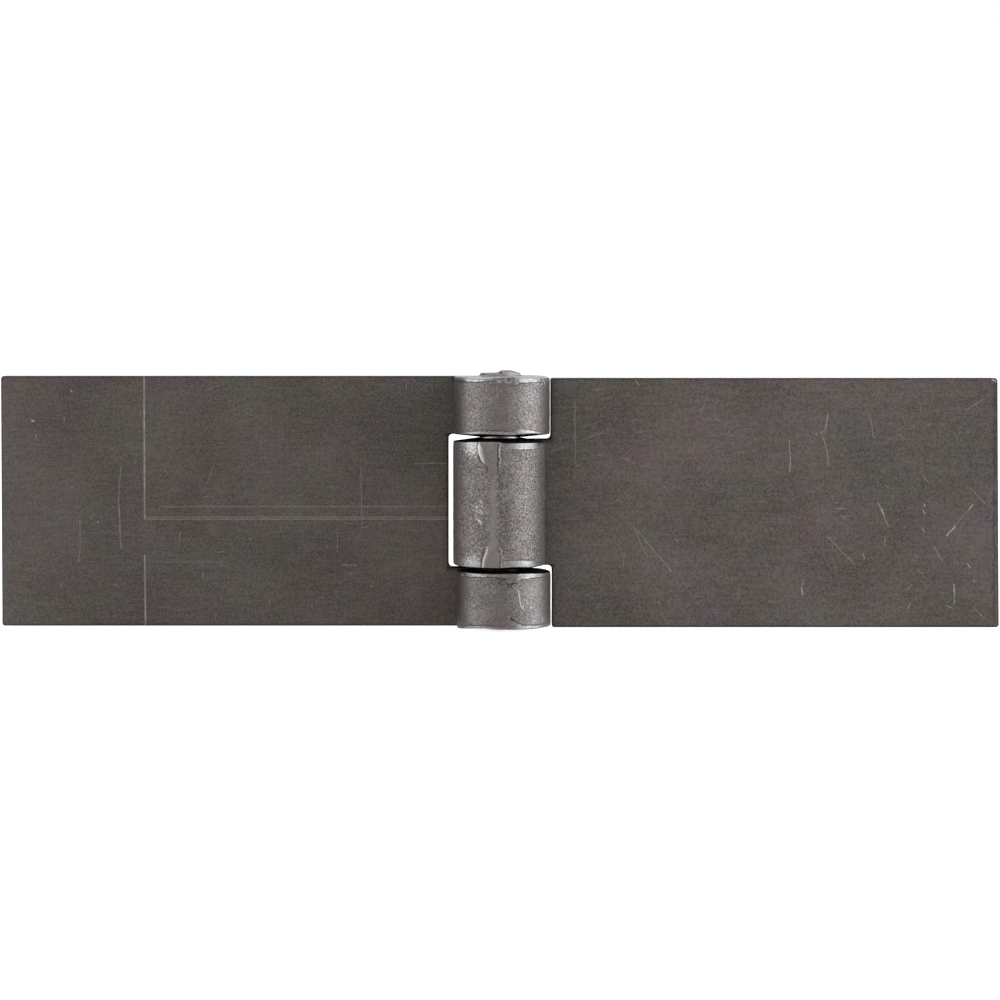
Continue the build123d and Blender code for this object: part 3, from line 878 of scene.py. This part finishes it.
# The pin
# A length of round bar through the three knuckles, held by the middle one. The blade that cropped its upper
# end left a ledge on one side and smeared the rest up into a lump.
PIN_STEPS = 120
PIN_EDGE = 0.3
RIM_ANGLES = (30, 60, 90)
RING_COUNT = 22
WALL_STEP = 0.08
WALL_ROWS = 17
WALL_HEIGHTS = (16.5, 15, 0, -15, -16.5)  # rows that bound the parts of the wall seen in the gaps
LOWER_END = [(0, 0.8), (0.2, 0.55), (0.8, 0.27), (1.8, 0.05)]  # how far in, how far over the end
LOWER_FLAT = 2.0
SHAPED_DEPTH = 0.4  # the cropped shape reaches this far below the knuckle's top
TORN_RISE = 0.5
# Height of the upper end over the knuckle, by X, on the pin's middle line
crop_heights = [
    (-5, 0.9), (-4.7, 1.05), (-0.9, 1.12), (-0.3, 1.35), (0.2, 1.62), (1.2, 1.7), (2.6, 1.65), (4, 1.32),
    (4.7, 1.05), (5, 0.8),
]
END_ROUND = 0.012  # how fast the upper end drops to front and back
CROP_WAVE = 0.06
CROP_WAVES = 0.9  # to the millimetre
CROP_SEED = 4
PIT_X, PIT_HEIGHT, PIT_RADIUS, PIT_DEPTH = 0.25, 1.15, 0.28, 0.35  # torn out of the lump's front
LEDGE_HEIGHT, LEDGE_WIDTH, LEDGE_DEPTH = 0.72, 0.1, 0.5  # the groove under the ledge's lip
LEDGE_SPAN = (0.2, -1.2)  # X between which it sets in
LEDGE_RADII = (3.5, 5)
FRONT_DARK = 0.52  # how black the painted dark reflection down the pin's front is in the upper gap
FRONT_WIDTH = 1.7
pin_radius = pin_high.x
shaped_above = fixed_high.z - SHAPED_DEPTH
top_rings = [((pin_radius - PIN_EDGE) * ring / RING_COUNT, pin_high.z) for ring in range(RING_COUNT + 1)]
rim = [
    (pin_radius - PIN_EDGE * (1 - math.sin(angle)), pin_high.z - PIN_EDGE * (1 - math.cos(angle)))
    for angle in map(math.radians, RIM_ANGLES)
]
wall = [(pin_radius, pin_high.z - PIN_EDGE - WALL_STEP * row) for row in range(1, WALL_ROWS + 1)]
lower_wall = [(pin_radius, height) for height in WALL_HEIGHTS]
bottom = [(pin_radius - inward, pin_low.z + over) for inward, over in LOWER_END]
bottom += [(LOWER_FLAT, pin_low.z), (0, pin_low.z)]
pin_mesh = bmesh.new()
profile = [pin_mesh.verts.new((r, 0, z)) for r, z in top_rings + rim + wall + lower_wall + bottom]
outline_edges = [pin_mesh.edges.new(pair) for pair in zip(profile, profile[1:])]
bmesh.ops.spin(
    pin_mesh, geom=profile + outline_edges, cent=(0, 0, 0), axis=(0, 0, 1), angle=math.tau, steps=PIN_STEPS,
    use_merge=True,
)
bmesh.ops.remove_doubles(pin_mesh, verts=pin_mesh.verts, dist=SAME_PLACE)
cropped = pin_mesh.verts.layers.float.new("cropped")
dark = pin_mesh.verts.layers.float.new("dark")
for vert in pin_mesh.verts:
    x, y, z = vert.co
    if z <= shaped_above:
        # Painted shadow, black, where the pin runs through the lower gap, and a painted dark reflection down
        # its front.
        in_lower_gap = -GAP_HEIGHT < z < 0
        vert[dark] = 1.0 if in_lower_gap else FRONT_DARK * bell(x, 0, FRONT_WIDTH) * (y < 0)
        continue
    target = fixed_high.z + between(crop_heights, x)[0] - END_ROUND * y * y
    target += CROP_WAVE * noise.noise(Vector((x * CROP_WAVES, y * CROP_WAVES, CROP_SEED)))
    z = shaped_above + (z - shaped_above) * (target - shaped_above) / (pin_high.z - shaped_above)
    over = z - fixed_high.z
    groove = bell(over, LEDGE_HEIGHT, LEDGE_WIDTH) * ramp(*LEDGE_SPAN, x)
    groove *= ramp(*LEDGE_RADII, math.hypot(x, y))
    if y < 0:
        # The pit in the lump's front is painted dark too, as painted shade in the hollow.
        vert[dark] = math.exp(-((x - PIT_X) ** 2 + (over - PIT_HEIGHT) ** 2) / PIT_RADIUS ** 2)
    inward = 1 - (LEDGE_DEPTH * groove + PIT_DEPTH * vert[dark]) / pin_radius
    vert[cropped] = ramp(shaped_above, shaped_above + TORN_RISE, z) * (1 - groove)
    vert.co = (x * inward, y * inward, z)
pin = finished_piece("hinge_pin_bar", pin_mesh)

BAR_TONES = ((0.17, 0.16, 0.155, 1), (0.29, 0.28, 0.275, 1))
CROP_TONES = ((0.2, 0.188, 0.19, 1), (0.27, 0.257, 0.26, 1))
PIN_DARK_TONE = (0.01, 0.009, 0.009, 1)
BAR_ROUGHNESS, CROP_ROUGHNESS = 0.3, 0.65
PIN_BUMP = 0.02 * MM
pin_steel, tree, shader, place = new_steel("pin_steel")
torn_part, pin_painted_shade = attribute(tree, "cropped"), attribute(tree, "dark")
drawn_lines = cloud(tree, stretch(tree, place, (1, 1, 0.1)), 1800, detail=2, roughness=0.6)
bar = blend(tree, drawn_lines, *BAR_TONES)
torn_share = rise(tree, cloud(tree, place, 900, detail=3, roughness=0.6), 0.3, 0.7)
torn = blend(tree, torn_share, *CROP_TONES)
colour = blend(tree, torn_part, bar, torn)
# Painted shade: black in the lower gap and the pit, and a painted dark reflection down the front.
colour = blend(tree, rise(tree, pin_painted_shade, 0.15, 0.7), colour, PIN_DARK_TONE)
tree.links.new(colour, shader.inputs["Base Color"])
tree.links.new(blend_values(tree, torn_part, BAR_ROUGHNESS, CROP_ROUGHNESS), shader.inputs["Roughness"])
shader.inputs["Metallic"].default_value = 1.0
bump = add_node(tree, "ShaderNodeBump", {"Height": drawn_lines, "Distance": PIN_BUMP})
tree.links.new(bump.outputs[0], shader.inputs["Normal"])
pin.data.materials.append(pin_steel)
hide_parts("hinge_pin")
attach(pin, "swing_side")

# Stage
# A white floor and surroundings, a large soft lamp on each side, and the camera a little above the hinge.
FLOOR_SIZE = 3.0
FLOOR_DROP = 0.0002  # the floor lies this far under the pin
FLOOR_TONE = (0.8, 0.8, 0.8, 1)
FLOOR_GLOW = 0.8
WHITE = (1, 1, 1, 1)
floor_mesh = bmesh.new()
bmesh.ops.create_grid(
    floor_mesh, x_segments=1, y_segments=1, size=FLOOR_SIZE,
    matrix=Matrix.Translation((0, 0, pin_low.z * MM - FLOOR_DROP)),
)
floor_data = bpy.data.meshes.new("floor")
floor_mesh.to_mesh(floor_data)
floor_mesh.free()
floor = bpy.data.objects.new("floor", floor_data)
show(floor)
floor_paint = bpy.data.materials.new("floor_paint")
floor_paint.use_nodes = True
tree = floor_paint.node_tree
tree.nodes.clear()


def seen_rays(tree):
    """1 for what the camera, a reflection or glass sees, 0 for light that falls on things."""
    rays = add_node(tree, "ShaderNodeLightPath").outputs
    seen = most(tree, rays["Is Camera Ray"], rays["Is Glossy Ray"])
    return most(tree, seen, rays["Is Transmission Ray"])


diffuse = add_node(tree, "ShaderNodeBsdfDiffuse", {"Color": FLOOR_TONE}).outputs[0]
glow = times(tree, seen_rays(tree), FLOOR_GLOW)
emission = add_node(tree, "ShaderNodeEmission", {"Color": WHITE, "Strength": glow}).outputs[0]
both = add_node(tree, "ShaderNodeAddShader", {0: diffuse, 1: emission}).outputs[0]
add_node(tree, "ShaderNodeOutputMaterial", {"Surface": both})
floor.data.materials.append(floor_paint)

STUDIO_LIGHT, STUDIO_SEEN = 0.5, 1.0  # how bright the surroundings shine, and how bright they look
world = bpy.data.worlds.new("studio")
world.use_nodes = True
tree = world.node_tree
tree.nodes.clear()
strength = rise(tree, seen_rays(tree), 0, 1, STUDIO_LIGHT, STUDIO_SEEN)
background = add_node(tree, "ShaderNodeBackground", {"Color": WHITE, "Strength": strength}).outputs[0]
add_node(tree, "ShaderNodeOutputWorld", {"Surface": background})
bpy.context.scene.world = world

Lamp = namedtuple("Lamp", "name bearing height distance width tall power colour")
for lamp in (
    Lamp("lamp_right", 77, 0.2, 1.2, 1.1, 1.2, 31.0, (0.93, 0.97, 1)),
    Lamp("lamp_left", -74, 0.2, 1.2, 1.1, 1.2, 13.0, (0.97, 0.99, 1)),
):
    light = bpy.data.lights.new(lamp.name, "AREA")
    light.shape = "RECTANGLE"
    light.size = lamp.width
    light.size_y = lamp.tall
    light.energy = lamp.power
    light.color = lamp.colour
    stand = bpy.data.objects.new(lamp.name, light)
    bearing = math.radians(lamp.bearing)
    stand.location = (lamp.distance * math.sin(bearing), -lamp.distance * math.cos(bearing), lamp.height)
    stand.rotation_euler = (Vector((0, 0, 0)) - stand.location).to_track_quat("-Z", "Y").to_euler()
    show(stand)

CAMERA_DISTANCE = 1.1
CAMERA_ELEVATION = math.radians(3)
CAMERA_AIM = 0.00055  # height of the point that the camera looks at
CAMERA_SENSOR = 36
CAMERA_LENS = 165.2
camera_data = bpy.data.cameras.new("camera")
camera_data.sensor_width = CAMERA_SENSOR
camera_data.lens = CAMERA_LENS
camera = bpy.data.objects.new("camera", camera_data)
camera_height = CAMERA_AIM + CAMERA_DISTANCE * math.sin(CAMERA_ELEVATION)
camera.location = (0, -CAMERA_DISTANCE * math.cos(CAMERA_ELEVATION), camera_height)
camera.rotation_euler = (math.radians(90) - CAMERA_ELEVATION, 0, 0)
show(camera)
bpy.context.scene.camera = camera
bpy.context.scene.view_settings.view_transform = "Standard"
